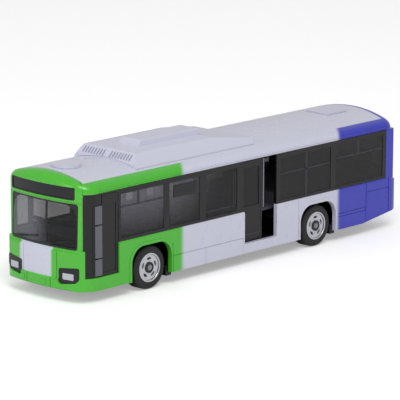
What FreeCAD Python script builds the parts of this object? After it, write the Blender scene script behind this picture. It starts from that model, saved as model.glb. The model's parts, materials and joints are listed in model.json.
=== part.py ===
"""Die-cast toy city bus with a hollow metal body, smoke windows and a sliding middle door.

Frame: +X forward, +Y to the bus's left (the door side), +Z up, in millimetres.
The origin is on the ground, under the middle of the body. The wheels stand on Z = 0.
Each sub-part is one STEP file in parts/, named after its node.
"""
import FreeCAD, Part
import math
import os

V = FreeCAD.Vector

# ---- Driving dimensions -------------------------------------------------------------
length = 130.0            # over the bumpers
half_width = 15.7         # half the width over the lower sides
wall = 1.2                # thickness of the cast body
skirt_z = 3.4             # lower edge of the sides
belt_z = 15.1             # top of the lower side, where the windows begin
cornice_z = 29.3          # top of the windows, where the roof edge begins
crown_z = 34.0            # roof at its middle
roof_drop = 2.97          # the roof is this much lower over the sides than at its middle
roof_round = 2.4          # from the roof round to the sides, front and rear
band_inset = 0.35         # the window band lies this far inside the lower side
front_bow = 60.0          # radius of the front, seen from above
rear_bow = 120.0          # radius of the rear, seen from above
front_corner = 6.4        # corner radius of the front, seen from above
rear_corner = 4.0         # corner radius of the rear, seen from above
bumper_top_z = 6.2
panel_set = 0.45          # the front panel lies this far behind the bumper
glass_set = 1.1           # the windscreen plane, at its foot, behind the bumper
header_set = 0.7          # the front sign's frame, behind the bumper
screen_lean = 0.4         # the windscreen's head lies this far behind its foot
rear_lift_x = 16.0        # the rear underside starts to rise this far from the end
rear_lift_z = 2.2         # and rises this much
rear_set = 0.6            # the rear panel, ahead of the rear bumper
rear_bumper_z = 8.6       # top of the rear bumper
rear_lean = 1.5           # the rear panel's head lies this far ahead of its foot
cap_seam_x = 60.6         # seam across the roof behind the front sign's frame

axle_z = 6.0              # height of both axles, which is the wheel radius
front_axle_x = 38.3
rear_axle_x = -28.6
axle_radius = 0.8
axle_play = 0.06          # radial running clearance of an axle in its posts
wheel_width = 4.4
wheel_face_y = 15.0       # outer face of the wheels
tyre_round = 0.5
disc_radius = 3.5         # bright disc on a wheel
disc_dish = 0.3           # the disc lies this far inside the tyre's face
slot_count = 5            # slots through a wheel's disc
slot_circle = 2.45
slot_radius = 0.32
slot_reach = 0.45         # half the distance between a slot's two ends

arch_gap = 1.5            # from the wheel to the arch, fore and aft
arch_over = 0.7           # and above the wheel
arch_corner = 4.5
lip_width = 0.8
lip_height = 0.15

panel_seam_y = 6.3        # seam on each side of the front panel
bumper_seam_y = 4.4       # and of the bumper's middle
seam_width = 0.22         # engraved panel seams
seam_depth = 0.18

glass_thickness = 0.9
glass_inset = 0.1         # windows lie this far inside the surface round them
seat_gap = 0.05           # between a fitted piece and its opening

left_front_x = 50.4       # front end of the left windows, at the front door
side_rear_x = -58.4       # rear end of the side windows
opening_reach = 3.7       # side openings are cut this deep, to clear the rounded corners
front_door_end_x = 61.7
front_door_sill_z = 6.9
doorway_front_x = 1.8
doorway_rear_x = -11.3
doorway_sill_z = 6.1
right_front_x = 60.6      # front end of the right windows

windscreen_half = 12.4
windscreen_low_z = 14.3
windscreen_high_z = 26.6
sign_half = 11.9
sign_low_z = 27.7
sign_high_z = 31.1
sign_recess = 0.35
sign_thickness = 0.6

rear_glass_half = 11.6
rear_glass_low_z = 17.6
rear_glass_high_z = 27.2
rear_sign_low_z = 28.2
rear_sign_high_z = 30.8
rear_sign_half = 5.2
rear_sign_thickness = 0.2

lamp_inner_y = 6.9        # black surround of a headlamp
lamp_outer_y = 13.3
lamp_low_z = 4.9
lamp_high_z = 9.9
lamp_depth = 0.4
lens_inner_y = 8.4
lens_outer_y = 11.9
lens_low_z = 6.4
lens_high_z = 8.1
tail_low_z = 11.0
tail_high_z = 18.6
tail_inner_y = 12.2
tail_outer_y = 14.0

door_width = 13.6         # sliding leaf
door_thickness = 0.8
door_gap = 0.2            # between the leaf and the windows in front of it
door_open = 4.85          # how far the leaf stands forward of shut
door_travel = 12.2        # from shut to fully open
door_glass_low_z = 16.0
door_frame = 1.2
rail_lip = 0.6
rail_lap = 0.5            # the leaf's edges run this deep in their rails
rail_play = 0.2
rail_flange = 0.5
rail_spare = 1.0          # length of rail past each end of the travel

floor_z = 13.3            # underside of the seat tray
floor_thickness = 0.8
tray_half = 12.6
tray_front_x = 51.0
tray_rear_x = -59.5
platform_x = -14.0        # the raised rear floor starts here
platform_rise = 3.2
seat_pitch = 8.0
seat_width = 4.6
seat_depth = 3.6
seat_height = 1.6
seat_back = 4.6
seat_back_thickness = 1.0

base_z = 3.0              # underside of the chassis
base_thickness = 1.2
base_clearance = 0.15
post_half = 1.1           # half the thickness of an axle post
post_y = 8.2
wheel_gap = 0.7           # from the wheels' inner face to the chassis and tray
wheel_room = 1.2          # from the wheels' tread to the tray
boss_half = 2.2           # rivet bosses inside the front and rear of the body
boss_reach = 5.5
boss_top_z = 11.0
rivet_radius = 1.5
rivet_head = 0.5

unit_front_x = 40.6       # roof air conditioner
unit_rear_x = -6.0
unit_half = 11.8
unit_top_half = 9.7
unit_top_z = 36.2
unit_slope = 2.2
unit_ramp_x = 9.0         # from here back its top falls to the roof
hood_front_x = 31.0       # raised cover on the air conditioner
hood_rear_x = 7.0
hood_half = 3.9
hood_top_z = 37.7
hood_slope = 0.9
vent_x = 54.4             # roof vent
vent_length = 8.1
vent_width = 8.0
vent_height = 0.7
hatch_x = -49.5           # roof hatch
hatch_length = 9.0
hatch_width = 8.5
hatch_height = 0.35

# ---- Derived places -----------------------------------------------------------------
front_x = length / 2
rear_x = -length / 2
front_axis_x = front_x - front_bow
rear_axis_x = rear_x + rear_bow
band_y = half_width - band_inset
roof_arch = (half_width ** 2 + roof_drop ** 2) / (2 * roof_drop)   # radius across the roof
arch_half = axle_z + arch_gap
arch_top_z = 2 * axle_z + arch_over
glass_y = band_y - glass_inset
leaf_y = glass_y - glass_thickness - door_gap
inner_y = half_width - wall
leaf_rear_x = doorway_rear_x - (door_width - doorway_front_x + doorway_rear_x) / 2 + door_open
leaf_front_x = leaf_rear_x + door_width
wheel_inner_y = wheel_face_y - wheel_width
narrow_y = wheel_inner_y - wheel_gap
front_wall_x = front_x - glass_set - screen_lean - wall
panel_x = front_x - panel_set
header_x = front_x - header_set
rear_panel_x = rear_x + rear_set
rear_panel_z = rear_bumper_z + 0.5
rear_wall_x = rear_panel_x + wall
tray_top_z = floor_z + floor_thickness
base_top_z = base_z + base_thickness
FAR = 200.0
BELOW = -1.0


# ---- Small helpers ------------------------------------------------------------------
def box(x0, x1, y0, y1, z0, z1):
    return Part.makeBox(x1 - x0, y1 - y0, z1 - z0, V(x0, y0, z0))


def rod_y(radius, y0, y1, x, z):
    return Part.makeCylinder(radius, y1 - y0, V(x, y0, z), V(0, 1, 0))


def rod_z(radius, z0, z1, x, y):
    return Part.makeCylinder(radius, z1 - z0, V(x, y, z0), V(0, 0, 1))


def mirrored(shape):
    return shape.mirror(V(0, 0, 0), V(0, 1, 0))


def outline(corners):
    """Closed wire through corners of (point, radius); a radius of 0 stays sharp."""
    turns = []
    for index, (point, radius) in enumerate(corners):
        back = (corners[index - 1][0] - point).normalize()
        ahead = (corners[(index + 1) % len(corners)][0] - point).normalize()
        half_angle = back.getAngle(ahead) / 2
        reach = radius / math.tan(half_angle)
        bisector = (back + ahead).normalize() if radius else back
        middle = point + bisector * (radius / math.sin(half_angle) - radius)
        turns.append((point + back * reach, middle, point + ahead * reach, radius))
    edges = []
    for index, (start, middle, end, radius) in enumerate(turns):
        if radius:
            edges.append(Part.Arc(start, middle, end).toShape())
        edges.append(Part.LineSegment(end, turns[(index + 1) % len(turns)][0]).toShape())
    return Part.Wire(edges)


def prism_x(corners, x0, x1):
    """Solid along X from corners of (y, z, radius)."""
    wire = outline([(V(x0, y, z), radius) for y, z, radius in corners])
    return Part.Face(wire).extrude(V(x1 - x0, 0, 0))


def prism_y(corners, y0, y1):
    """Solid along Y from corners of (x, z, radius)."""
    wire = outline([(V(x, y0, z), radius) for x, z, radius in corners])
    return Part.Face(wire).extrude(V(0, y1 - y0, 0))


def prism_z(corners, z0, z1):
    """Solid along Z from corners of (x, y, radius)."""
    wire = outline([(V(x, y, z0), radius) for x, y, radius in corners])
    return Part.Face(wire).extrude(V(0, 0, z1 - z0))


def rectangle(a0, a1, b0, b1, radius=0):
    return [(a0, b0, radius), (a1, b0, radius), (a1, b1, radius), (a0, b1, radius)]


def turned(corners, axis_x):
    """Solid turned about an upright axis from corners of (x, z, radius)."""
    wire = outline([(V(x, 0, z), radius) for x, z, radius in corners])
    return Part.Face(wire).revolve(V(axis_x, 0, 0), V(0, 0, 1), 360)


def save(name, shape):
    shape.exportStep("parts/" + name + ".step")


# ---- The body's form ----------------------------------------------------------------
def arched_end(half, crown, arch, corner):
    """Half of an arched end, as (across, outward) points: where the side begins to turn,
    the middle of the turn, and where the turn meets the arch."""
    centre = V(half - corner, math.sqrt((arch - corner) ** 2 - (half - corner) ** 2), 0)
    outward = V(centre).normalize()
    middle = (outward + V(1, 0, 0)).normalize()
    lift = V(0, crown - arch, 0)
    turn = [centre + V(corner, 0, 0), centre + middle * corner, outward * arch]
    return [(point + lift)[:2] for point in turn]


def section_prism(inset, step):
    """The body's cross-section up to its arched roof, drawn in by inset. The window band
    lies step further in. The roof meets the sides at sharp edges."""
    side = half_width - inset
    crown = crown_z - inset
    arch = roof_arch - inset
    edge_z = crown - arch + math.sqrt(arch ** 2 - side ** 2)
    left = [(side, BELOW), (side, belt_z - step), (side - step, belt_z),
            (side - step, cornice_z), (side, cornice_z + step * 0.6), (side, edge_z)]
    points = [V(-FAR, y, z) for y, z in left] + [V(-FAR, -y, z) for y, z in reversed(left)]
    edges = [Part.LineSegment(a, b).toShape() for a, b in zip(points, points[1:]) if a != b
             and a.y * b.y > 0]
    edges.append(Part.Arc(points[5], V(-FAR, 0, crown), points[6]).toShape())
    edges.append(Part.LineSegment(points[0], points[-1]).toShape())
    wire = Part.Wire(Part.__sortEdges__(edges))
    return Part.Face(wire).extrude(V(2 * FAR, 0, 0))


def plan_prism(inset, front=front_x, rear=rear_x):
    """The body seen from above, drawn in by inset from where its front and rear reach."""
    side = half_width - inset
    ends = ((1, front - inset, front_bow - inset, front_corner - inset),
            (-1, -rear - inset, rear_bow - inset, rear_corner - inset))
    edges = []
    meetings = []
    for way, crown, arch, corner in ends:
        turn = [V(way * outward, across, BELOW) for across, outward in
                arched_end(side, crown, arch, corner)]
        edges.append(Part.Arc(*turn).toShape())
        edges.append(mirrored(edges[-1]))
        opposite = V(turn[2].x, -turn[2].y, BELOW)
        edges.append(Part.Arc(turn[2], V(way * crown, 0, BELOW), opposite).toShape())
        meetings.append(turn[0])
    for way in (1, -1):
        ends = [V(point.x, way * point.y, BELOW) for point in meetings]
        edges.append(Part.LineSegment(*ends).toShape())
    return Part.Face(Part.Wire(Part.__sortEdges__(edges))).extrude(V(0, 0, FAR))


def leaning_rear(inset, front, rear):
    """The body up to the roof edge, its rear upright to the bumper's top and leaning above."""
    low = rear + inset
    limit = turned([(rear_axis_x, BELOW, 0), (low, BELOW, 0), (low, rear_panel_z, 0),
                    (low + rear_lean, cornice_z, 0), (rear_axis_x, cornice_z, 0)], rear_axis_x)
    return plan_prism(inset, front, rear).common(limit)


def roofed_block(inset, front, rear):
    """The body with one soft edge all the way round its roof, ahead of the leaning rear."""
    block = section_prism(inset, 0).common(plan_prism(inset, front, rear + rear_lean))
    rim = [edge for edge in block.Edges if edge.BoundBox.ZMin > cornice_z and
           edge.BoundBox.DiagonalLength > 1]
    block = block.makeFillet(roof_round - inset * 0.7, rim)
    return block.fuse(leaning_rear(inset, front, rear))


def screen_x(z):
    """The windscreen's plane at a height, on the middle line."""
    share = (z - windscreen_low_z) / (windscreen_high_z - windscreen_low_z)
    return front_x - glass_set - screen_lean * share


def front_turned():
    """Limits the body at the front, and below along its whole length."""
    low, high = windscreen_low_z, windscreen_high_z
    behind = box(-FAR, front_axis_x, -FAR, FAR, skirt_z, crown_z + 1)
    return behind.fuse(turned([
        (front_axis_x, skirt_z, 0), (front_x, skirt_z, 0.6),
        (front_x, bumper_top_z, 0.25), (panel_x, bumper_top_z + 0.4, 0.1),
        (panel_x, low - 0.9, 0.4), (screen_x(low), low - 0.4, 0.1),
        (screen_x(high), high + 0.3, 0.1), (header_x, high + 0.7, 0.2),
        (header_x, crown_z + 1, 0), (front_axis_x, crown_z + 1, 0)], front_axis_x))


def rear_turned():
    """Limits the body at the rear and at its rising underside."""
    lift_start = rear_x + rear_lift_x
    return turned([
        (rear_axis_x, BELOW, 0), (lift_start, BELOW, 0), (lift_start, skirt_z, 0),
        (rear_x, skirt_z + rear_lift_z, 0.6), (rear_x, rear_bumper_z, 0.4),
        (rear_panel_x, rear_panel_z, 0), (rear_panel_x + rear_lean, cornice_z, 0),
        (rear_panel_x + rear_lean, crown_z + 1, 0),
        (rear_axis_x, crown_z + 1, 0)], rear_axis_x)


def body_form():
    """The whole outside: a softly roofed block, with the front panel and bumpers standing out."""
    cab = roofed_block(0, header_x, rear_panel_x)
    foot = plan_prism(0).common(box(rear_x, front_x, -half_width, half_width, 0, windscreen_low_z))
    form = cab.fuse(foot).common(section_prism(0, band_inset))
    return form.common(front_turned()).common(rear_turned())


def cavity(gap=0.0):
    """The hollow inside the cast body, open below, drawn in by gap for what fits in it."""
    inset = wall + gap
    return roofed_block(inset, front_wall_x + inset - gap, rear_wall_x - inset + gap)


def arch_corners(axle_x, grow=0.0):
    half = arch_half + grow
    return [(axle_x - half, BELOW, 0), (axle_x + half, BELOW, 0),
            (axle_x + half, arch_top_z + grow, arch_corner + grow),
            (axle_x - half, arch_top_z + grow, arch_corner + grow)]


def arch_lip(axle_x):
    ring = prism_y(arch_corners(axle_x, lip_width), inner_y, half_width + lip_height)
    return ring.common(box(axle_x - FAR, axle_x + FAR, 0, FAR, skirt_z, belt_z))


def side_opening(x0, x1, y0, y1, sills):
    """Side windows from x0 to x1, with doorways of (x0, x1, sill) cut down from them."""
    opening = box(x0, x1, y0, y1, belt_z, cornice_z)
    for door_x0, door_x1, sill in sills:
        opening = opening.fuse(box(door_x0, door_x1, y0, y1, sill, cornice_z))
    return opening


def side_seams():
    """Engraved lines on the lower sides, each as (x0, z0, x1, z1)."""
    low = skirt_z
    lines = [
        (30.2, low, 30.2, 11.4), (17.3, low, 17.3, 8.0), (2.5, low, 2.5, 7.9), (2.5, 7.9, 30.2, 7.9),
        (-20.4, low, -20.4, belt_z), (-49.4, low, -49.4, belt_z), (-49.4, 12.4, -58.9, 12.4),
        (-37.0, 7.2, -49.4, 7.2), (-37.0, 8.1, -49.4, 8.1), (-59.3, 4.8, -59.3, cornice_z)]
    half = seam_width / 2
    cuts = []
    for x0, z0, x1, z1 in lines:
        cuts.append(box(min(x0, x1) - half, max(x0, x1) + half,
                        half_width - seam_depth, FAR, z0 - half, z1 + half))
    return cuts


def front_seams():
    """Engraved lines round the front panel and the bumper, each as (y0, z0, y1, z1)."""
    lines = [(panel_seam_y, bumper_top_z, panel_seam_y, windscreen_low_z - 0.8),
             (bumper_seam_y, skirt_z, bumper_seam_y, bumper_top_z)]
    half = seam_width / 2
    skin = turned(rectangle(front_axis_x, panel_x - seam_depth, BELOW, FAR), front_axis_x)
    cuts = []
    for y0, z0, y1, z1 in lines:
        cuts.append(box(0, FAR, y0 - half, y1 + half, z0 - half, z1 + half).cut(skin))
    return cuts


def lamp_corners(gap):
    low, high = lamp_low_z + gap, lamp_high_z - gap
    return [(lamp_inner_y + gap, low, 1.0), (lamp_outer_y - gap, low + 0.9, 1.6),
            (lamp_outer_y - gap, high, 0.6), (lamp_inner_y + gap, high - 0.7, 0.6)]


def front_skin(corners, depth, thickness, low_x=None, high_x=None, z0=BELOW, z1=FAR):
    """A sheet that follows the bowed front, cut out along X by an outline of (y, z, radius).
    Its outer face lies depth behind the line from (low_x, z0) to (high_x, z1)."""
    low = (front_x if low_x is None else low_x) - depth
    high = (front_x if high_x is None else high_x) - depth
    sheet = turned([(low - thickness, z0, 0), (low, z0, 0), (high, z1, 0), (high - thickness, z1, 0)],
                   front_axis_x)
    return sheet.common(prism_x(corners, 0, FAR))


def rear_skin(corners, depth, thickness):
    """The same at the rear, depth inside the leaning rear panel."""
    low = rear_panel_x + depth
    face = [(low, 0), (low, rear_panel_z), (low + rear_lean, cornice_z), (low + rear_lean, crown_z)]
    back = [(x + thickness, z) for x, z in reversed(face)]
    sheet = turned([(x, z, 0) for x, z in face + back], rear_axis_x)
    return sheet.common(prism_x(corners, -FAR, 0))


def cap_seam():
    """Engraved line across the roof, bent forward to the front corners."""
    half = seam_width / 2
    bend, end = half_width - 4.6, half_width + 1
    forward = 2.6
    path = [(cap_seam_x, -bend), (cap_seam_x, bend), (cap_seam_x + forward, end)]
    ring = [(x + half, y) for x, y in [(cap_seam_x + forward, -end)] + path]
    ring += [(x - half, y) for x, y in reversed([(cap_seam_x + forward, -end)] + path)]
    groove = prism_z([(x, y, 0) for x, y in ring], cornice_z - 0.2, FAR)
    return groove.cut(roofed_block(seam_depth, header_x, rear_panel_x))


def rivet_bosses():
    """Bosses on the front and rear walls that the chassis is riveted to."""
    front_low = base_top_z + seat_gap
    rear_low = front_low + rear_lift_z
    return [box(front_wall_x - boss_reach, front_wall_x + wall / 2, -boss_half, boss_half,
                front_low, boss_top_z),
            box(rear_wall_x - wall / 2, rear_wall_x + boss_reach, -boss_half, boss_half,
                rear_low, boss_top_z)]


def body_shell():
    outer = body_form()
    lips = [arch_lip(x) for x in (front_axle_x, rear_axle_x)]
    outer = outer.fuse(lips + [mirrored(lip) for lip in lips])
    shell = outer.cut(cavity())
    y0, y1 = half_width - opening_reach, half_width + 1
    doors = [(left_front_x, front_door_end_x, front_door_sill_z),
             (doorway_rear_x, doorway_front_x, doorway_sill_z)]
    cuts = [side_opening(side_rear_x, front_door_end_x, y0, y1, doors),
            side_opening(side_rear_x, right_front_x, -y1, -y0, [])]
    for axle_x in (front_axle_x, rear_axle_x):
        arch = prism_y(arch_corners(axle_x), inner_y - 1, half_width + 1)
        cuts += [arch, mirrored(arch)]
    seams = side_seams() + front_seams()
    cuts += seams + [mirrored(seam) for seam in seams] + [cap_seam()]
    cuts.append(prism_x(rectangle(-windscreen_half, windscreen_half, windscreen_low_z,
                                  windscreen_high_z, 0.8), front_wall_x - boss_reach, FAR))
    cuts.append(front_skin(rectangle(-sign_half, sign_half, sign_low_z, sign_high_z, 0.5),
                           header_set - 1, 1 + sign_recess + sign_thickness + seat_gap))
    lamp = front_skin(lamp_corners(0), -1, 1 + panel_set + lamp_depth)
    tail = rear_skin(tail_corners(0), -1, 1.3)
    cuts += [lamp, mirrored(lamp), tail, mirrored(tail)]
    cuts.append(prism_x(rectangle(-rear_glass_half, rear_glass_half, rear_glass_low_z,
                                  rear_glass_high_z, 1.0), -FAR, rear_wall_x + boss_reach))
    cuts.append(rear_skin(rectangle(-rear_sign_half, rear_sign_half, rear_sign_low_z,
                                    rear_sign_high_z, 0.4), -1, 1 + sign_recess + rear_sign_thickness + seat_gap))
    shell = shell.cut(cuts)
    return shell.fuse(rivet_bosses()).removeSplitter()


# ---- Windows, signs and lamps -------------------------------------------------------
def side_sheet(x0, x1, z0, z1, thickness, depth=band_inset + glass_inset):
    """A sheet in the left side that follows the front corner, with its face depth inside."""
    opening = box(x0 + seat_gap, x1 - seat_gap, 0, FAR, z0 + seat_gap, z1 - seat_gap)
    return opening.common(plan_prism(depth)).cut(plan_prism(depth + thickness))


def side_pane(x0, x1, side):
    """A window in the side band, black frame and clear pane in one moulding."""
    pane = side_sheet(x0, x1, belt_z, cornice_z, glass_thickness)
    return pane if side > 0 else mirrored(pane)


def windscreen():
    corners = rectangle(-windscreen_half + seat_gap, windscreen_half - seat_gap,
                        windscreen_low_z + seat_gap, windscreen_high_z - seat_gap, 0.75)
    low, high = windscreen_low_z, windscreen_high_z
    return front_skin(corners, glass_inset, glass_thickness, screen_x(low), screen_x(high), low, high)


def rear_window():
    corners = rectangle(-rear_glass_half + seat_gap, rear_glass_half - seat_gap,
                        rear_glass_low_z + seat_gap, rear_glass_high_z - seat_gap, 0.95)
    return rear_skin(corners, glass_inset, glass_thickness)


def front_display():
    corners = rectangle(-sign_half + seat_gap, sign_half - seat_gap,
                        sign_low_z + seat_gap, sign_high_z - seat_gap, 0.45)
    return front_skin(corners, header_set + sign_recess, sign_thickness)


def rear_display():
    corners = rectangle(-rear_sign_half + seat_gap, rear_sign_half - seat_gap,
                        rear_sign_low_z + seat_gap, rear_sign_high_z - seat_gap, 0.35)
    return rear_skin(corners, sign_recess, rear_sign_thickness)


def tail_corners(gap):
    return rectangle(tail_inner_y + gap, tail_outer_y - gap, tail_low_z + gap, tail_high_z - gap, 0.4)


def headlamp():
    return front_skin(lamp_corners(seat_gap), panel_set + 0.05, lamp_depth - 0.1)


def headlamp_lens():
    corners = rectangle(lens_inner_y, lens_outer_y, lens_low_z, lens_high_z, 0.3)
    return front_skin(corners, panel_set - 0.2, 0.25)


def tail_lamp():
    return rear_skin(tail_corners(seat_gap), -0.05, 0.3)


# ---- Doors --------------------------------------------------------------------------
def front_door():
    """Two fixed folding leaves with a grab rail moulded between them."""
    panel = side_sheet(left_front_x, front_door_end_x, front_door_sill_z, cornice_z,
                       glass_thickness, half_width - glass_y + 0.1)
    strip_x = (left_front_x + front_door_end_x) / 2 + 1.2
    strip = box(strip_x - 0.9, strip_x + 0.9, glass_y - 0.1, glass_y + 0.15, 7.2, 26.0)
    return panel.fuse(strip)


def leaf_top_z():
    return cornice_z - rail_lip


def leaf_low_z():
    return doorway_sill_z - rail_lip


def middle_door():
    y0, y1 = leaf_y - door_thickness, leaf_y
    leaf = box(leaf_rear_x, leaf_front_x, y0, y1, leaf_low_z(), leaf_top_z())
    hole = box(leaf_rear_x + door_frame, leaf_front_x - door_frame, y0 - 1, y1 + 1,
               door_glass_low_z, leaf_top_z() - door_frame - 0.8)
    return leaf.cut(hole)


def middle_door_glass():
    y0, y1 = leaf_y - door_thickness + 0.15, leaf_y - 0.15
    return box(leaf_rear_x + door_frame, leaf_front_x - door_frame, y0, y1,
               door_glass_low_z, leaf_top_z() - door_frame - 0.8)


def door_rail(z_low, z_high, opens_up):
    """Angle rail that the leaf's edge runs in, long enough for the whole travel."""
    x0 = leaf_rear_x - door_open - rail_spare
    x1 = leaf_front_x - door_open + door_travel + rail_spare
    inner_face = leaf_y - door_thickness - rail_play
    y1 = leaf_y + door_gap - seat_gap
    rail = box(x0, x1, inner_face - rail_flange, y1, z_low, z_high)
    slot_low = z_low + rail_flange if opens_up else z_low - 1
    slot_high = z_high + 1 if opens_up else z_high - rail_flange
    return rail.cut(box(x0 - 1, x1 + 1, inner_face, y1 + 1, slot_low, slot_high))


def upper_rail():
    top = leaf_top_z()
    return door_rail(top - rail_lap, top + rail_play + rail_flange, False)


def lower_rail():
    low = leaf_low_z()
    return door_rail(low - rail_play - rail_flange, low + rail_lap, True)


# ---- Inside -------------------------------------------------------------------------
def seat(x, y, base):
    cushion = box(x - seat_depth / 2, x + seat_depth / 2, y - seat_width / 2, y + seat_width / 2,
                  base, base + seat_height)
    back = box(x - seat_depth / 2 - seat_back_thickness, x - seat_depth / 2,
               y - seat_width / 2, y + seat_width / 2, base, base + seat_height + seat_back)
    return cushion.fuse(back)


def seat_tray():
    tray = box(tray_rear_x, tray_front_x, -tray_half, tray_half, floor_z, tray_top_z)
    platform_top = tray_top_z + platform_rise
    platform = box(tray_rear_x, platform_x, -tray_half, tray_half, tray_top_z, platform_top)
    pieces = [platform]
    row = 1
    while tray_front_x - row * seat_pitch > tray_rear_x + seat_depth + 2:
        x = tray_front_x - row * seat_pitch
        raised = x < platform_x - seat_depth
        base = platform_top if raised else tray_top_z
        near_step = abs(x - platform_x) < seat_depth / 2 + seat_back_thickness
        for y in (-tray_half + seat_width / 2 + 0.2, tray_half - seat_width / 2 - 0.2):
            at_doorway = y > 0 and doorway_rear_x - 3 < x < doorway_front_x + 3
            if not near_step and not at_doorway:
                pieces.append(seat(x, y, base))
        row += 1
    wells = [rod_y(axle_z + wheel_room, y0, y1, axle_x, axle_z)
             for axle_x in (front_axle_x, rear_axle_x)
             for y0, y1 in ((narrow_y, FAR), (-FAR, -narrow_y))]
    return tray.fuse(pieces).cut(wells).removeSplitter()


def dashboard():
    x0 = tray_front_x + seat_gap
    x1 = front_wall_x
    sill = windscreen_low_z
    block = prism_y([(x0, floor_z, 0), (x1, floor_z, 0), (x1, sill + 0.4, 0.3),
                     (x1 - 3.5, sill + 1.6, 0.5), (x0, sill + 0.2, 0.3)], -tray_half, tray_half)
    return block.common(cavity(base_clearance))


def steering_wheel():
    centre = V(57.0, -7.0, 18.6)
    lean = V(-0.62, 0, 1).normalize()
    ring = Part.makeTorus(2.3, 0.3, centre, lean)
    foot_z = windscreen_low_z + 0.9
    reach = (centre.z - foot_z) / lean.z
    column = Part.makeCylinder(0.35, reach, centre - lean * reach, lean)
    spoke = Part.makeBox(4.6, 0.5, 0.4, V(-2.3, -0.25, -0.2))
    spoke.rotate(V(0, 0, 0), V(0, 1, 0), -math.degrees(math.atan2(0.62, 1)))
    spoke.translate(centre)
    return ring.fuse([column, spoke]).cut(dashboard())


def handrail():
    """Upright rail behind the middle doorway's rear edge."""
    x = doorway_rear_x + 1.7
    y = leaf_y - door_thickness - 1.4
    return rod_z(0.35, tray_top_z, crown_z - wall - 2.6, x, y)


# ---- Chassis and wheels -------------------------------------------------------------
def chassis():
    bend_x = rear_x + rear_lift_x
    plate = prism_y([(front_x, base_z, 0), (front_x, base_top_z, 0), (bend_x, base_top_z, 0),
                     (rear_x, base_top_z + rear_lift_z, 0), (rear_x, base_z + rear_lift_z, 0),
                     (bend_x, base_z, 0)], -half_width, half_width)
    plate = plate.common(cavity(base_clearance))
    half = arch_half + 0.3
    for axle_x in (front_axle_x, rear_axle_x):
        for y0, y1 in ((narrow_y, FAR), (-FAR, -narrow_y)):
            plate = plate.cut(box(axle_x - half, axle_x + half, y0, y1, BELOW, FAR))
    posts = []
    for axle_x in (front_axle_x, rear_axle_x):
        for y in (post_y, -post_y):
            posts.append(box(axle_x - 2.2, axle_x + 2.2, y - post_half, y + post_half,
                             base_top_z, floor_z - seat_gap))
    for x in (20.0, -2.0, -45.0):
        for y in (6.0, -6.0):
            posts.append(box(x - 1, x + 1, y - 1, y + 1, base_top_z, floor_z - seat_gap))
    plate = plate.fuse(posts)
    for axle_x in (front_axle_x, rear_axle_x):
        plate = plate.cut(rod_y(axle_radius + axle_play, -FAR, FAR, axle_x, axle_z))
    return plate.cut([rivet_recess(x, z) for x, z in rivet_places().values()]).removeSplitter()


def axle(axle_x):
    return rod_y(axle_radius, -wheel_face_y, wheel_face_y, axle_x, axle_z)


def wheel(axle_x, side):
    """One-piece wheel: tyre with a dished, slotted disc and a hub around the axle."""
    y0 = wheel_inner_y
    tyre = rod_y(axle_z, y0, wheel_face_y, axle_x, axle_z)
    rims = [edge for edge in tyre.Edges if abs(edge.BoundBox.YLength) < 0.001]
    tyre = tyre.makeFillet(tyre_round, rims)
    tyre = tyre.cut(rod_y(disc_radius, wheel_face_y - disc_dish, wheel_face_y + 1, axle_x, axle_z))
    tyre = tyre.fuse(rod_y(axle_radius + 0.55, y0, wheel_face_y - 0.05, axle_x, axle_z))
    slots = []
    for index in range(slot_count):
        slot = prism_y([(-slot_reach - slot_radius, slot_circle - slot_radius, slot_radius * 0.98),
                        (slot_reach + slot_radius, slot_circle - slot_radius, slot_radius * 0.98),
                        (slot_reach + slot_radius, slot_circle + slot_radius, slot_radius * 0.98),
                        (-slot_reach - slot_radius, slot_circle + slot_radius, slot_radius * 0.98)],
                       wheel_face_y - disc_dish - 1.2, wheel_face_y)
        slot.rotate(V(0, 0, 0), V(0, 1, 0), 360.0 / slot_count * index)
        slot.translate(V(axle_x, 0, axle_z))
        slots.append(slot)
    bore = rod_y(axle_radius, y0 - 1, wheel_face_y + 1, axle_x, axle_z)
    tyre = tyre.cut(slots + [bore])
    return tyre if side > 0 else mirrored(tyre)


def rivet_places():
    """Middle of each rivet's head on the chassis, as (x, z of the underside there)."""
    rear = rear_wall_x + boss_reach / 2
    climb = (rear_x + rear_lift_x - rear) / rear_lift_x * rear_lift_z
    return {"front": (front_wall_x - boss_reach / 2, base_z), "rear": (rear, base_z + climb)}


def rivet(x, face_z):
    """Rivet head, just inside its recess in the chassis."""
    return rod_z(rivet_radius, face_z + seat_gap, face_z + rivet_head, x, 0)


def rivet_recess(x, face_z):
    return rod_z(rivet_radius + 2 * seat_gap, BELOW, face_z + rivet_head + seat_gap, x, 0)


# ---- Roof ---------------------------------------------------------------------------
def roof_cutter():
    """Everything under the roof's surface, for pieces that sit on it."""
    return section_prism(-seat_gap, 0)


def roof_unit():
    base = crown_z - 4.0
    side = prism_y([(unit_rear_x, base, 0), (unit_front_x, base, 0),
                    (unit_front_x - unit_slope * 0.3, unit_top_z - 2.6, 0.2),
                    (unit_front_x - unit_slope, unit_top_z, 0.3), (unit_ramp_x, unit_top_z, 0),
                    (unit_rear_x, crown_z + 0.2, 0)], -unit_half, unit_half)
    cross = prism_x([(-unit_half, base, 0), (unit_half, base, 0), (unit_half, crown_z - 1.3, 0.4),
                     (unit_top_half, unit_top_z, 0.6), (-unit_top_half, unit_top_z, 0.6),
                     (-unit_half, crown_z - 1.3, 0.4)], unit_rear_x - 1, unit_front_x + 1)
    return side.common(cross).cut(roof_cutter())


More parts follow.
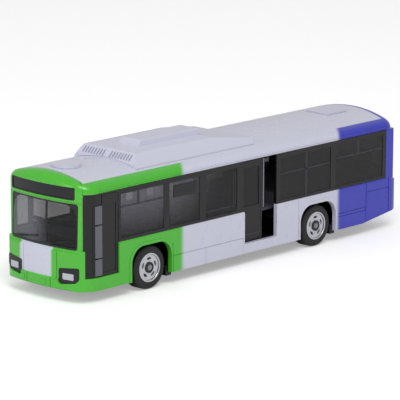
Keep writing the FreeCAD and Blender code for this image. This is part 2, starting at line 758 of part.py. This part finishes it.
def roof_hood():
    low = unit_top_z
    side = prism_y([(hood_rear_x, low, 0), (hood_front_x, low, 0),
                    (hood_front_x - hood_slope, hood_top_z, 0.3),
                    (hood_rear_x + hood_slope * 0.6, hood_top_z, 0.3)], -hood_half, hood_half)
    cross = prism_x([(-hood_half, low, 0), (hood_half, low, 0), (hood_half - 0.4, hood_top_z, 0.4),
                     (-hood_half + 0.4, hood_top_z, 0.4)], hood_rear_x - 1, hood_front_x + 1)
    return side.common(cross)


def roof_pad(x, pad_length, pad_width, height, radius):
    corners = rectangle(x - pad_length / 2, x + pad_length / 2, -pad_width / 2, pad_width / 2, radius)
    return prism_z(corners, crown_z - 2, crown_z + height).cut(roof_cutter())


# ---- Write every sub-part -----------------------------------------------------------
def main():
    os.makedirs("parts", exist_ok=True)
    save("body_shell", body_shell())
    save("windscreen", windscreen())
    save("rear_window", rear_window())
    save("window_left_front", side_pane(doorway_front_x, left_front_x, 1))
    save("window_left_rear", side_pane(side_rear_x, doorway_rear_x, 1))
    save("window_right", side_pane(side_rear_x, right_front_x, -1))
    save("front_display", front_display())
    save("rear_display", rear_display())
    for name, make in (("headlamp", headlamp), ("headlamp_lens", headlamp_lens), ("tail_lamp", tail_lamp)):
        save(name + "_left", make())
        save(name + "_right", mirrored(make()))
    save("front_door", front_door())
    save("middle_door", middle_door())
    save("middle_door_glass", middle_door_glass())
    save("door_rail_upper", upper_rail())
    save("door_rail_lower", lower_rail())
    save("seat_tray", seat_tray())
    save("dashboard", dashboard())
    save("steering_wheel", steering_wheel())
    save("door_handrail", handrail())
    save("chassis", chassis())
    for end, place in rivet_places().items():
        save("chassis_rivet_" + end, rivet(*place))
    for end, axle_x in (("front", front_axle_x), ("rear", rear_axle_x)):
        save(end + "_axle", axle(axle_x))
        save("wheel_" + end + "_left", wheel(axle_x, 1))
        save("wheel_" + end + "_right", wheel(axle_x, -1))
    save("roof_air_conditioner", roof_unit())
    save("roof_unit_cover", roof_hood())
    save("roof_vent", roof_pad(vent_x, vent_length, vent_width, vent_height, vent_width / 2 - 0.05))
    save("roof_hatch", roof_pad(hatch_x, hatch_length, hatch_width, hatch_height, 0.8))


main()
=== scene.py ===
"""Looks of the die-cast toy city bus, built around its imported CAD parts. Metres in Blender;
the shapes below are written in millimetres and scaled once, in the mesh helpers."""

import bpy
import bmesh
import json
import math
from mathutils import Matrix, Vector


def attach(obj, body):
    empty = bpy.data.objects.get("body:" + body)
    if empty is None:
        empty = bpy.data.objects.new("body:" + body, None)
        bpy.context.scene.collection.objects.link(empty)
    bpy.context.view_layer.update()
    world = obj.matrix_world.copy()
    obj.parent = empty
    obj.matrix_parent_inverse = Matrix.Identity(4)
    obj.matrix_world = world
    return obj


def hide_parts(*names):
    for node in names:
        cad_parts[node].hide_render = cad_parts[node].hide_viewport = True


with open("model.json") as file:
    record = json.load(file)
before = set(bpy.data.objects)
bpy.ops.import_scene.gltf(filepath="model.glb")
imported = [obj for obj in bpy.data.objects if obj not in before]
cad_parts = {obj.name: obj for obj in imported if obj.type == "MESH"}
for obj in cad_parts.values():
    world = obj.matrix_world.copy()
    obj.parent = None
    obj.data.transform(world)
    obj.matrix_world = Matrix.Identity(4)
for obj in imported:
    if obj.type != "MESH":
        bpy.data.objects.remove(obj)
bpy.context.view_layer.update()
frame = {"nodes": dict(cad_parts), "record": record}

MM = 0.001
FRONT_X = 65.0                             # the body's foremost point
BOW = 60.0                                 # radius of the front, seen from above
CORNER_X, CORNER_Y = 57.8, 9.3             # centre of the left front corner's turn
GLASS_Y, BAND_Y = 15.25, 15.35             # outsides of the panes and of the window band
SCREEN_LOW, SCREEN_HIGH = 14.3, 26.6       # heights of the windscreen's ends
AXLES = {"front": 38.3, "rear": -28.6}     # where each axle lies along the bus
AXLE_Z = 6.0
SIDES = {"left": 1, "right": -1}


# ---- Colours and shader helpers ------------------------------------------------------
def linear(*srgb):
    """Scene colour from 0-255 display values."""
    values = [c / 255 for c in srgb]
    return [c / 12.92 if c <= 0.04045 else ((c + 0.055) / 1.055) ** 2.4 for c in values] + [1.0]


class Finish:
    """A procedural material: one Principled shader, with object coordinates in millimetres."""

    def __init__(self, name, colour, rough, metal=0.0, coat=0.0):
        self.material = bpy.data.materials.new(name)
        self.material.use_nodes = True
        self.tree = self.material.node_tree
        self.shader = self.tree.nodes["Principled BSDF"]
        self.shader.inputs["Base Color"].default_value = colour
        self.shader.inputs["Roughness"].default_value = rough
        self.shader.inputs["Metallic"].default_value = metal
        self.shader.inputs["Coat Weight"].default_value = coat
        self.shader.inputs["Coat Roughness"].default_value = 0.08
        self.rough = rough
        coordinates = self.tree.nodes.new("ShaderNodeTexCoord")
        scale = self.tree.nodes.new("ShaderNodeVectorMath")
        scale.operation = "SCALE"
        scale.inputs["Scale"].default_value = 1 / MM
        self.link(coordinates.outputs["Object"], scale.inputs[0])
        self.place = scale.outputs[0]

    def link(self, output, socket):
        self.tree.links.new(output, socket)

    def math(self, operation, a, b=0.0, c=0.0):
        node = self.tree.nodes.new("ShaderNodeMath")
        node.operation = operation
        for socket, value in zip(node.inputs, (a, b, c)):
            if isinstance(value, (int, float)):
                socket.default_value = value
            else:
                self.link(value, socket)
        return node.outputs[0]

    def axis(self, index):
        split = self.tree.nodes.new("ShaderNodeSeparateXYZ")
        self.link(self.place, split.inputs[0])
        return split.outputs[index]

    def step(self, value, low, high):
        """0 below low, 1 above high, and smooth between; the other way round if low > high."""
        node = self.tree.nodes.new("ShaderNodeMapRange")
        node.interpolation_type = "SMOOTHSTEP"
        flip = low > high
        self.link(value, node.inputs["Value"])
        node.inputs["From Min"].default_value = min(low, high)
        node.inputs["From Max"].default_value = max(low, high)
        node.inputs["To Min"].default_value = 1.0 if flip else 0.0
        node.inputs["To Max"].default_value = 0.0 if flip else 1.0
        return node.outputs[0]

    def all_of(self, *masks):
        result = masks[0]
        for mask in masks[1:]:
            result = self.math("MULTIPLY", result, mask)
        return result

    def any_of(self, *masks):
        result = masks[0]
        for mask in masks[1:]:
            result = self.math("MAXIMUM", result, mask)
        return result

    def noise(self, scale, detail=3.0, rough=0.55):
        node = self.tree.nodes.new("ShaderNodeTexNoise")
        node.inputs["Scale"].default_value = scale
        node.inputs["Detail"].default_value = detail
        node.inputs["Roughness"].default_value = rough
        self.link(self.place, node.inputs["Vector"])
        return node.outputs["Fac"]

    def mix(self, mask, first, second):
        node = self.tree.nodes.new("ShaderNodeMix")
        node.data_type = "RGBA"
        for socket, value in ((node.inputs[0], mask), (node.inputs[6], first), (node.inputs[7], second)):
            if isinstance(value, (list, tuple, float)):
                socket.default_value = value
            else:
                self.link(value, socket)
        return node.outputs[2]

    def colour(self, value):
        self.link(value, self.shader.inputs["Base Color"])

    def wear(self, spread, scale=0.5, bump=0.0, bump_scale=1.0):
        """Roughness that varies over the surface, and fine unevenness."""
        self.link(self.math("MULTIPLY_ADD", self.noise(scale), spread, self.rough - spread / 2),
                  self.shader.inputs["Roughness"])
        if bump:
            node = self.tree.nodes.new("ShaderNodeBump")
            node.inputs["Strength"].default_value = 0.12
            node.inputs["Distance"].default_value = bump * MM
            self.link(self.noise(bump_scale), node.inputs["Height"])
            self.link(node.outputs[0], self.shader.inputs["Normal"])
        return self


GREEN = linear(72, 186, 42)
WHITE = linear(208, 209, 226)
BLUE = linear(46, 52, 184)
BLACK = linear(13, 13, 17)


def body_paint():
    """Green front, white middle and blue rear, with soft sprayed edges, and a white roof."""
    paint = Finish("body_paint", WHITE, 0.28, coat=0.4)
    x, y, z = (paint.axis(i) for i in range(3))
    y = paint.math("ABSOLUTE", y)
    bowed = paint.math("MULTIPLY_ADD", paint.math("MULTIPLY", y, y), -0.004, x)
    roof = paint.all_of(paint.step(z, 29.9, 30.1), paint.step(y, 13.0, 12.5), paint.step(x, 60.7, 60.5),
                        paint.step(bowed, -60.0, -59.7))
    below = paint.math("SUBTRACT", 1.0, roof)
    swept = paint.math("ADD", x, paint.math("MULTIPLY_ADD", y, -0.8, 12.5))
    green = paint.all_of(paint.step(swept, 25.4, 27.4), below)
    blue = paint.all_of(paint.step(swept, -36.2, -38.2), below)
    panel = paint.all_of(paint.step(x, 62.6, 62.8), paint.step(z, 6.3, 6.7), paint.step(z, 14.4, 14.2),
                         paint.step(paint.axis(1), -8.4, -7.2), paint.step(paint.axis(1), 4.9, 3.9))
    colour = paint.mix(green, WHITE, GREEN)
    colour = paint.mix(blue, colour, BLUE)
    colour = paint.mix(panel, colour, WHITE)
    shade = paint.math("MULTIPLY_ADD", paint.noise(0.35), 0.06, 0.97)
    tone = paint.tree.nodes.new("ShaderNodeVectorMath")
    tone.operation = "SCALE"
    paint.link(colour, tone.inputs[0])
    paint.link(shade, tone.inputs["Scale"])
    paint.colour(tone.outputs[0])
    return paint.wear(0.06, 0.25, 0.003, 0.6)


def glass():
    """Dark tinted plastic that shows what stands behind it, with a painted reflection: lighter grey high on the front
    side windows and on the right of the windscreen.
    """
    pane = Finish("smoke_glass", linear(18, 18, 22), 0.04)
    x, y, z = (pane.axis(i) for i in range(3))
    clear = pane.step(x, -14.0, 46.0)
    pane.link(pane.math("MULTIPLY_ADD", clear, -0.3, 0.74), pane.shader.inputs["Alpha"])
    # painted reflection: the dark tint is mixed towards light grey high on the front side windows and on the right of
    # the windscreen
    painted_reflection = pane.any_of(pane.all_of(pane.step(x, 10.0, 36.0), pane.step(z, 13.0, 29.0), pane.step(x, 60.5, 60.0)),
                        pane.all_of(pane.step(x, 60.0, 60.5), pane.step(y, 4.0, -6.0)))
    pane.colour(pane.mix(painted_reflection, linear(18, 18, 22), linear(128, 128, 138)))
    return pane.wear(0.03, 0.3)


PAINTS = {
    "body_paint": body_paint(),
    "roof_white": Finish("roof_white", WHITE, 0.34, coat=0.2).wear(0.1, 0.3, 0.02, 0.5),
    # painted shade: a darker grey copy of the roof white, for the shade inside the louvre slots
    "louvre_shade_grey": Finish("louvre_shade_grey", linear(150, 152, 174), 0.5).wear(0.1, 0.5, 0.01),
    "smoke_glass": glass(),
    "sign_black": Finish("sign_black", linear(8, 10, 16), 0.16).wear(0.06, 0.5),
    "door_black": Finish("door_black", linear(10, 10, 14), 0.25).wear(0.1, 0.5, 0.01),
    "lamp_lens": Finish("lamp_lens", linear(200, 202, 212), 0.18, 0.8).wear(0.08, 1.0, 0.03, 1.4),
    "tail_red": Finish("tail_red", linear(150, 16, 20), 0.15, coat=0.5).wear(0.05, 0.8, 0.02),
    "chassis_black": Finish("chassis_black", linear(14, 14, 17), 0.45).wear(0.15, 0.5, 0.02),
    "interior_grey": Finish("interior_grey", linear(74, 74, 84), 0.5).wear(0.12, 0.5, 0.02),
    "rail_metal": Finish("rail_metal", linear(150, 151, 160), 0.3, 0.8).wear(0.12, 0.8, 0.01),
    "axle_steel": Finish("axle_steel", linear(150, 150, 156), 0.28, 1.0).wear(0.12, 1.0, 0.01),
    "wheel_black": Finish("wheel_black", linear(14, 14, 17), 0.45).wear(0.16, 0.6, 0.02),
    "trim_black": Finish("trim_black", BLACK, 0.24).wear(0.1, 0.5, 0.01),
    "sash_grey": Finish("sash_grey", linear(38, 38, 48), 0.3).wear(0.1, 0.5, 0.01),
    "grab_grey": Finish("grab_grey", linear(96, 98, 108), 0.3).wear(0.1, 0.5, 0.01),
    "disc_silver": Finish("disc_silver", linear(205, 206, 214), 0.3, 0.5).wear(0.12, 0.6, 0.015),
}

for node, thing in frame["nodes"].items():
    packed = thing.data.materials[0].name.split(".")[0] if thing.data.materials else ""
    slots = [m["slot"] for m in frame["record"]["materials"] if node in m.get("nodes", [])]
    name = slots[0] if slots else packed
    paint = PAINTS.get(name)
    if paint is None:
        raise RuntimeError("no finish for " + node + ": " + name)
    thing.data.materials.clear()
    thing.data.materials.append(paint.material)


# ---- Mesh helpers (millimetres in, metres out) --------------------------------------
SHARP = math.radians(35)                   # edges that turn by more than this stay crisp


def add(name, form, finish, body="root", round_off=0.0):
    """Object from a bmesh in millimetres, with its edges rounded off by round_off."""
    bmesh.ops.recalc_face_normals(form, faces=form.faces)
    bmesh.ops.scale(form, vec=(MM, MM, MM), verts=form.verts)
    mesh = bpy.data.meshes.new(name)
    form.to_mesh(mesh)
    form.free()
    piece = bpy.data.objects.new(name, mesh)
    bpy.context.scene.collection.objects.link(piece)
    mesh.materials.append(PAINTS[finish].material)
    if round_off:
        bevel = piece.modifiers.new("soft_edges", "BEVEL")
        bevel.width = round_off * MM
        bevel.segments = 2
        bevel.limit_method = "ANGLE"
        bevel.angle_limit = SHARP
    mesh.polygons.foreach_set("use_smooth", [True] * len(mesh.polygons))
    edges = piece.modifiers.new("flat_faces", "WEIGHTED_NORMAL")
    edges.keep_sharp = True
    mesh.set_sharp_from_angle(angle=SHARP)
    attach(piece, body)
    return piece


def across(sign, near, far):
    """The same reach across the bus on the left (sign 1) or the right (-1), low end first."""
    return sorted((sign * near, sign * far))


def circle(a, b, radius, steps=48):
    turns = [2 * math.pi * i / steps for i in range(steps)]
    return [(a + radius * math.cos(turn), b + radius * math.sin(turn)) for turn in turns]


def ring_of(a0, a1, b0, b1, radius=0.0, steps=5):
    """Corners of a rectangle with rounded corners."""
    if not radius:
        return [(a0, b0), (a1, b0), (a1, b1), (a0, b1)]
    ring = []
    for ca, cb, start in ((a1 - radius, b0 + radius, -90), (a1 - radius, b1 - radius, 0),
                          (a0 + radius, b1 - radius, 90), (a0 + radius, b0 + radius, 180)):
        for i in range(steps + 1):
            angle = math.radians(start + 90 * i / steps)
            ring.append((ca + radius * math.cos(angle), cb + radius * math.sin(angle)))
    return ring


def spot(axis, a, b, along):
    return {"x": (along, a, b), "y": (a, along, b), "z": (a, b, along)}[axis]


def prism(form, axis, ring, low, high, hole=None):
    """Solid across an axis from a ring of corners, with an optional hole of as many corners."""
    outer = [[form.verts.new(spot(axis, a, b, t)) for a, b in ring] for t in (low, high)]
    count = len(ring)
    for i in range(count):
        j = (i + 1) % count
        form.faces.new((outer[0][i], outer[0][j], outer[1][j], outer[1][i]))
    if hole is None:
        form.faces.new(outer[0])
        form.faces.new(outer[1])
        return form
    inner = [[form.verts.new(spot(axis, a, b, t)) for a, b in hole] for t in (low, high)]
    for i in range(count):
        j = (i + 1) % count
        form.faces.new((inner[0][i], inner[0][j], inner[1][j], inner[1][i]))
        for side in (0, 1):
            form.faces.new((outer[side][i], outer[side][j], inner[side][j], inner[side][i]))
    return form


def bars(axis, boxes, low, high):
    """Several bars across an axis, each (a0, a1, b0, b1)."""
    form = bmesh.new()
    for a0, a1, b0, b1 in boxes:
        prism(form, axis, ring_of(a0, a1, b0, b1), low, high)
    return form


def round_corner(form):
    """Carries trim made for the flat sides round the front corners of the body."""
    for k in range(10):
        every = form.verts[:] + form.edges[:] + form.faces[:]
        bmesh.ops.bisect_plane(form, geom=every, dist=0.001, plane_co=(CORNER_X + 0.42 * k, 0, 0),
                               plane_no=(1, 0, 0))
    for vert in form.verts:
        ahead, side = vert.co.x - CORNER_X, abs(vert.co.y)
        if ahead > 0:
            reach = max(side - CORNER_Y, ahead + 0.01)
            vert.co.y = math.copysign(CORNER_Y + math.sqrt(reach * reach - ahead * ahead), vert.co.y)
    return form


def spun(form, profile, y_sign=1, steps=64):
    """Solid of revolution about Y from (y, radius) corners, an open profile."""
    rows = []
    for i in range(steps):
        angle = 2 * math.pi * i / steps
        rows.append([form.verts.new((r * math.cos(angle), y * y_sign, r * math.sin(angle)))
                     for y, r in profile])
    for i in range(steps):
        j = (i + 1) % steps
        for k in range(len(profile) - 1):
            form.faces.new((rows[i][k], rows[j][k], rows[j][k + 1], rows[i][k + 1]))
    return form


# ---- Side windows: black frames, pillars and sash bars ------------------------------
def window_frames(name, sign, x_ends, pillars, sashes, dividers):
    """Flat black trim on the outside of a window strip. Sign is +1 (left) or -1 (right)."""
    low, high = 15.15, 29.25
    boxes = [(x_ends[0], x_ends[1], low, 16.0), (x_ends[0], x_ends[1], 27.9, high)]
    boxes += [(x0, x1, 16.0, 27.9) for x0, x1 in pillars]
    y0, y1 = across(sign, GLASS_Y - 0.02, BAND_Y + 0.03)
    add(name + "_trim", round_corner(bars("y", boxes, y0, y1)), "trim_black", round_off=0.03)
    y0, y1 = across(sign, GLASS_Y - 0.02, GLASS_Y + 0.06)
    add(name + "_sashes", bars("y", sashes + dividers, y0, y1), "sash_grey", round_off=0.02)


window_frames("left_front", 1, (1.9, 50.3), [(1.9, 4.7), (17.0, 19.5), (31.2, 33.3), (49.5, 50.3)],
              [(33.5, 49.3, 24.2, 24.6)], [(42.5, 43.3, 24.6, 27.9)])
window_frames("left_rear", 1, (-58.35, -11.35), [(-12.9, -11.35), (-36.3, -34.1), (-58.35, -56.8)],
              [(-33.9, -13.0, 23.2, 23.6), (-56.6, -36.5, 24.0, 24.4)],
              [(-24.2, -23.4, 16.0, 27.9), (-46.4, -45.6, 24.4, 27.9)])
window_frames("right", -1, (-58.35, 60.5),
              [(-58.35, -56.8), (-36.3, -34.1), (-13.0, -11.0), (9.0, 11.0), (31.2, 33.3), (52.0, 54.0), (59.4, 60.5)],
              [(-56.6, -36.5, 24.0, 24.4), (-33.9, -13.2, 23.2, 23.6), (-10.8, 8.8, 24.0, 24.4),
               (33.5, 51.8, 24.2, 24.6)], [(-46.4, -45.6, 24.4, 27.9), (-24.2, -23.4, 23.6, 27.9)])
add("side_sign", bars("y", [(20.9, 29.6, 23.7, 26.95)], GLASS_Y - 0.02, BAND_Y + 0.05), "sign_black",
    round_off=0.04)


# ---- Wheels ---------------------------------------------------------------------------
def wheel_pieces():
    """Tyre, slotted disc, hub ring and rim line of each wheel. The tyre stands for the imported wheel."""
    for end, axle_x in AXLES.items():
        for side, sign in SIDES.items():
            body = end + "_wheelset"
            shift = Matrix.Translation((axle_x, 0, AXLE_Z))
            tyre = spun(bmesh.new(), [
                (10.62, 1.4), (10.62, 5.3), (10.72, 5.75), (11.1, 5.98), (14.1, 5.98), (14.62, 5.84), (14.9, 5.5),
                (14.97, 5.05), (14.93, 4.86), (14.97, 4.68), (14.97, 4.25), (14.93, 4.12), (14.96, 3.98), (14.9, 3.55),
                (14.68, 3.52)], sign)
            tyre.transform(shift)
            made = add("tyre_" + end + "_" + side, tyre, "wheel_black", body)
            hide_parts("wheel_" + end + "_" + side)
            disc = bmesh.new()
            prism_disc(disc, sign)
            disc.transform(shift)
            add("disc_" + end + "_" + side, disc, "disc_silver", body)
            ring = spun(bmesh.new(), [(14.6, 1.5), (14.97, 1.5), (14.99, 1.42), (14.99, 1.0), (14.9, 0.86),
                                      (14.6, 0.86)], sign)
            ring.transform(shift)
            add("hub_ring_" + end + "_" + side, ring, "trim_black", body)
            line = spun(bmesh.new(), [(14.93, 3.95), (14.985, 3.93), (14.985, 3.62), (14.9, 3.55)], sign)
            line.transform(shift)
            add("rim_line_" + end + "_" + side, line, "disc_silver", body)


def prism_disc(form, sign):
    """Silver disc with five oval slots: sectors built round each slot, with dark depth behind."""
    outer, inner, face, back = 3.52, 1.3, 14.7, 14.1
    count, steps = 5, 48
    slot_middle, slot_long, slot_wide = 2.45, 0.86, 0.36
    for k in range(count):
        middle = 2 * math.pi * (k + 0.25) / count
        half = math.pi / count
        edge, slot = [], []
        for i in range(steps):
            turn = 2 * math.pi * i / steps
            along = math.cos(turn) * slot_long / slot_middle
            slot.append((slot_middle + math.sin(turn) * slot_wide, middle + along))
            reach = max(abs(math.cos(turn)), abs(math.sin(turn)))
            square_a, square_b = math.cos(turn) / reach, math.sin(turn) / reach
            radius = inner + (outer - inner) * (square_b + 1) / 2
            edge.append((radius, middle + half * square_a))
        rows = {}
        for name, points, y in (("edge", edge, face), ("slot", slot, face), ("deep", slot, back)):
            rows[name] = [form.verts.new((r * math.cos(t), sign * y, r * math.sin(t))) for r, t in points]
        for i in range(steps):
            j = (i + 1) % steps
            form.faces.new((rows["edge"][i], rows["edge"][j], rows["slot"][j], rows["slot"][i]))
            form.faces.new((rows["slot"][i], rows["slot"][j], rows["deep"][j], rows["deep"][i]))
    bmesh.ops.remove_doubles(form, verts=form.verts, dist=0.001)


def disc_backs():
    """Dark plates behind the slots of the discs, with a hole for the axle."""
    for end, axle_x in AXLES.items():
        for side, sign in SIDES.items():
            y0, y1 = across(sign, 14.0, 14.1)
            plate = prism(bmesh.new(), "y", circle(axle_x, AXLE_Z, 3.5), y0, y1, circle(axle_x, AXLE_Z, 0.85))
            add("disc_back_" + end + "_" + side, plate, "trim_black", end + "_wheelset")


wheel_pieces()
disc_backs()


# ---- Roof unit louvres ------------------------------------------------------------------
def louvres():
    """Two groups of slanted slots on the sloping front of the roof unit, as thin grey inserts that paint the shade
    inside the slots.
    """
    low, high = Vector((39.94, 0, 33.75)), Vector((38.4, 0, 36.2))
    up = (high - low).normalized()
    out = Vector((up.z, 0, -up.x))
    half_long, half_wide = 0.9, 0.2
    form = bmesh.new()
    for group in (-1, 1):
        for i in range(8):
            centre = low + up * 1.45 + Vector((0, group * (1.35 + i * 1.05), 0))
            lean = (up + Vector((0, 0.28, 0))).normalized()
            wide = lean.cross(out).normalized()
            corners = [centre + lean * (a * half_long) + wide * (b * half_wide)
                       for a, b in ((-1, -1), (1, -1), (1, 1), (-1, 1))]
            ring = [[form.verts.new(c + out * d) for c in corners] for d in (-0.15, 0.03)]
            for k in range(4):
                form.faces.new((ring[0][k], ring[0][(k + 1) % 4], ring[1][(k + 1) % 4], ring[1][k]))
            form.faces.new(ring[0])
            form.faces.new(ring[1])
    add("roof_unit_louvres", form, "louvre_shade_grey")


louvres()


# ---- Pieces that follow the bowed front --------------------------------------------------
def screen_x(z):
    """The windscreen's plane at a height, on the middle line."""
    return FRONT_X - 1.1 - 0.4 * (z - SCREEN_LOW) / (SCREEN_HIGH - SCREEN_LOW)


def front_piece(name, rings, finish, face, low=-0.05, high=0.1, round_off=0.02, holes=None):
    """Trim on the front from rings of (y, z), standing low to high proud of a face's profile."""
    form = bmesh.new()
    for index, ring in enumerate(rings):
        prism(form, "x", ring, low, high, holes[index] if holes else None)
    for i in range(-15, 16):
        parts = form.verts[:] + form.edges[:] + form.faces[:]
        bmesh.ops.bisect_plane(form, geom=parts, plane_co=(0, i, 0), plane_no=(0, 1, 0))
    for vert in form.verts:
        vert.co.x += face(vert.co.z) + math.sqrt(BOW ** 2 - vert.co.y ** 2) - BOW
    return add(name, form, finish, round_off=round_off)


def front_trim():
    """Windscreen frame, bar, corners and wipers, the sign's frame and the bumper's blocks."""
    glass_face = lambda z: screen_x(z) - 0.1
    front_piece("windscreen_frame", [ring_of(-12.3, 12.3, 14.4, 26.5, 0.7)], "trim_black", glass_face,
                holes=[ring_of(-12.1, 12.1, 14.9, 26.2, 0.7)])
    front_piece("windscreen_bar", [ring_of(1.5, 2.2, 14.9, 26.2)], "trim_black", glass_face)
    corner = [(8.9, 26.2), (12.1, 26.2), (12.1, 23.0), (11.5, 24.3), (10.6, 25.4)]
    front_piece("windscreen_corners", [corner, [(-y, z) for y, z in reversed(corner)]], "trim_black", glass_face,
                -0.05, 0.06)
    wipers = []
    for y0, z0, y1, z1, half in ((-11.2, 15.1, -1.2, 16.5, 0.16), (-10.6, 14.9, -5.0, 16.0, 0.22),
                                 (1.9, 15.1, 10.9, 16.9, 0.16), (2.6, 14.9, 7.0, 16.2, 0.22)):
        along = Vector((y1 - y0, z1 - z0)).normalized()
        side = Vector((-along.y, along.x)) * half
        wipers.append([(y0 - side.x, z0 - side.y), (y1 - side.x, z1 - side.y), (y1 + side.x, z1 + side.y),
                       (y0 + side.x, z0 + side.y)])
    front_piece("wipers", wipers, "door_black", glass_face, 0.05, 0.4, 0.05)
    sign_face = lambda z: FRONT_X - 0.7 - 0.35
    front_piece("sign_frame", [ring_of(-11.8, 11.8, 27.75, 31.05, 0.4)], "trim_black", sign_face, -0.1, 0.15,
                holes=[ring_of(-11.5, 11.5, 28.05, 30.75, 0.4)])
    front_piece("bumper_blocks", [ring_of(-7.1, -5.3, 4.3, 5.5, 0.25), ring_of(1.1, 2.9, 4.3, 5.5, 0.25)],
                "body_paint", lambda z: FRONT_X, -0.5, 0.2, 0.12)


front_trim()


# ---- Doors, tabs and roof edges -----------------------------------------------------------
def door_trim():
    """Frames and grab strip of the front door, edges of the pocket window, and the sliding leaf's frame."""
    leaf_y = 14.15
    add("front_door_frames", round_corner(bars("y", [
        (50.5, 51.3, 7.0, 28.7), (55.9, 56.4, 7.0, 28.7), (58.9, 59.4, 7.0, 28.7), (61.1, 61.8, 7.0, 28.7),
        (51.3, 55.9, 7.0, 7.9), (59.4, 61.1, 7.0, 7.9), (51.3, 55.9, 26.0, 28.7), (59.4, 61.1, 26.0, 28.7)],
        15.1, 15.28)), "trim_black", round_off=0.03)
    strip = bars("y", [(56.45, 58.85, 7.3, 11.7), (56.45, 58.85, 12.1, 20.7), (56.45, 58.85, 21.1, 26.0)], 15.2, 15.5)
    add("front_door_strip", round_corner(strip), "grab_grey", round_off=0.1)
    add("pocket_window_lines", bars("y", [(5.1, 5.4, 17.4, 27.2), (6.0, 6.25, 17.4, 27.2), (5.1, 17.0, 17.4, 17.7)],
                                    GLASS_Y - 0.02, GLASS_Y + 0.05), "sash_grey", round_off=0.02)
    add("middle_door_frame", bars("y", [(-6.6, -6.2, 6.0, 28.3), (-6.2, 6.6, 7.9, 8.3)], leaf_y - 0.05, leaf_y + 0.08),
        "sash_grey", "middle_door", round_off=0.03)


def skirt_tabs():
    """Black tabs under the skirt behind the wheels."""
    form = bmesh.new()
    for x0, x1 in ((29.4, 31.5), (-37.3, -35.2)):
        for sign in SIDES.values():
            y0, y1 = across(sign, 12.4, 14.3)
            prism(form, "y", ring_of(x0, x1, 2.3, 5.0, 0.2, 3), y0, y1)
    add("skirt_tabs", form, "chassis_black", round_off=0.08)


def roof_edge_ridges():
    """A fine raised line along the roof edge on each side."""
    form = bmesh.new()
    for sign in SIDES.values():
        y0, y1 = across(sign, 15.3, 15.8)
        prism(form, "y", ring_of(-58.0, 57.6, 29.95, 30.2, 0.1, 2), y0, y1)
    add("roof_edge_ridges", form, "body_paint", round_off=0.05)


door_trim()
skirt_tabs()
roof_edge_ridges()


# ---- Camera, light and floor --------------------------------------------------------------
def camera():
    """A long lens from the front left, a little above the roof."""
    azimuth, elevation, roll = math.radians(46.73), math.radians(12.83), math.radians(0.22)
    distance, target = 0.8274, Vector((0, 0, 0.017))
    back = Vector((math.sin(azimuth) * math.cos(elevation), math.cos(azimuth) * math.cos(elevation),
                   math.sin(elevation)))
    lens = bpy.data.cameras.new("camera")
    lens.lens, lens.sensor_width = 268.4, 36.0
    lens.shift_x, lens.shift_y = -7.82 / 400, -4.5 / 400
    lens.clip_start, lens.clip_end = 0.05, 20.0
    eye = bpy.data.objects.new("camera", lens)
    bpy.context.scene.collection.objects.link(eye)
    eye.rotation_mode = "QUATERNION"
    turn = (-back).to_track_quat("-Z", "Y")
    eye.rotation_quaternion = (turn.to_matrix() @ Matrix.Rotation(roll, 3, "Z")).to_quaternion()
    eye.location = target + back * distance
    bpy.context.scene.camera = eye


def area_light(name, place, aim, size, power):
    data = bpy.data.lights.new(name, "AREA")
    data.shape, data.size, data.energy = "DISK", size, power
    lamp = bpy.data.objects.new(name, data)
    bpy.context.scene.collection.objects.link(lamp)
    lamp.location = place
    lamp.rotation_mode = "QUATERNION"
    lamp.rotation_quaternion = (Vector(aim) - Vector(place)).to_track_quat("-Z", "Y")


def surroundings():
    """Soft white light all round, a white floor and two lamps."""
    world = bpy.data.worlds.new("studio")
    bpy.context.scene.world = world
    world.use_nodes = True
    tree = world.node_tree
    background = tree.nodes["Background"]
    background.inputs["Color"].default_value = (1.0, 1.0, 1.0, 1.0)
    background.inputs["Strength"].default_value = 0.5
    plain = tree.nodes.new("ShaderNodeBackground")
    plain.inputs["Color"].default_value = (1.0, 1.0, 1.0, 1.0)
    plain.inputs["Strength"].default_value = 1.0
    path = tree.nodes.new("ShaderNodeLightPath")
    choose = tree.nodes.new("ShaderNodeMixShader")
    tree.links.new(path.outputs["Is Camera Ray"], choose.inputs[0])
    tree.links.new(background.outputs[0], choose.inputs[1])
    tree.links.new(plain.outputs[0], choose.inputs[2])
    tree.links.new(choose.outputs[0], tree.nodes["World Output"].inputs[0])
    form = bmesh.new()
    bmesh.ops.create_grid(form, x_segments=1, y_segments=1, size=3.0)
    mesh = bpy.data.meshes.new("floor")
    form.to_mesh(mesh)
    form.free()
    floor = bpy.data.objects.new("floor", mesh)
    bpy.context.scene.collection.objects.link(floor)
    surface = Finish("floor_white", linear(250, 250, 250), 0.6)
    seen = surface.tree.nodes.new("ShaderNodeLightPath")
    surface.shader.inputs["Emission Color"].default_value = (1.0, 1.0, 1.0, 1.0)
    surface.link(surface.math("MULTIPLY", seen.outputs["Is Camera Ray"], 0.32),
                 surface.shader.inputs["Emission Strength"])
    mesh.materials.append(surface.material)
    area_light("key", (0.35, 0.45, 0.75), (0, 0, 0.01), 0.5, 3.6)
    area_light("fill", (0.9, -0.1, 0.35), (0, 0, 0.02), 0.5, 1.2)


camera()
surroundings()
bpy.context.scene.view_settings.view_transform = "Standard"
